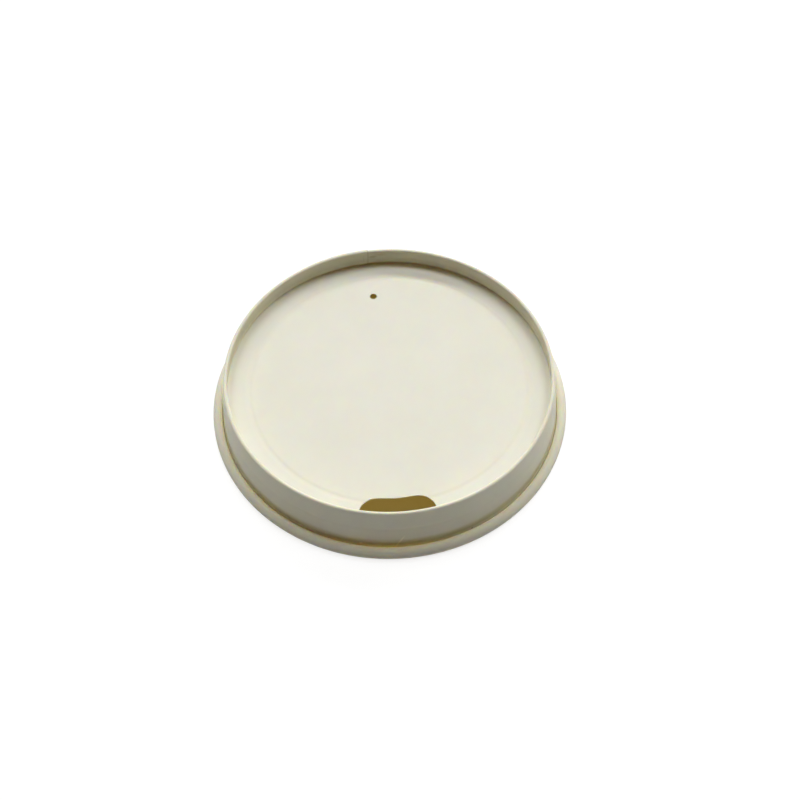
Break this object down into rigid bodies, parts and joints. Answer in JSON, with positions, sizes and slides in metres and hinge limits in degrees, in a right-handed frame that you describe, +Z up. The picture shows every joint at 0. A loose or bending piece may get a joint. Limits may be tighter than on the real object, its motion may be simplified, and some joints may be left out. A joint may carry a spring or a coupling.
{
  "type": "coffee cup lid",
  "caption": "Round paper lid for a hot-drink cup: flat recessed top with a sip opening and a small vent, folded rim, tapered side and rolled bead at the foot.",
  "frame": {"origin": "middle of the foot of the rolled bead, on the surface that the lid stands on", "axes": "+Z up out of the recessed top; the sip opening faces -Y; +X to the right with the sip opening in front"},
  "size_m": [0.095, 0.095, 0.0154],
  "materials": {
    "side_paper": "matt uncoated ivory paperboard with fine fibre, wrapped, folded and rolled",
    "disc_paper": "smooth satin ivory paperboard with a faint pressed ring"
  },
  "bodies": {
    "root": {"side_wall": "side_paper", "top_disc": "disc_paper"}
  },
  "joints": []
}
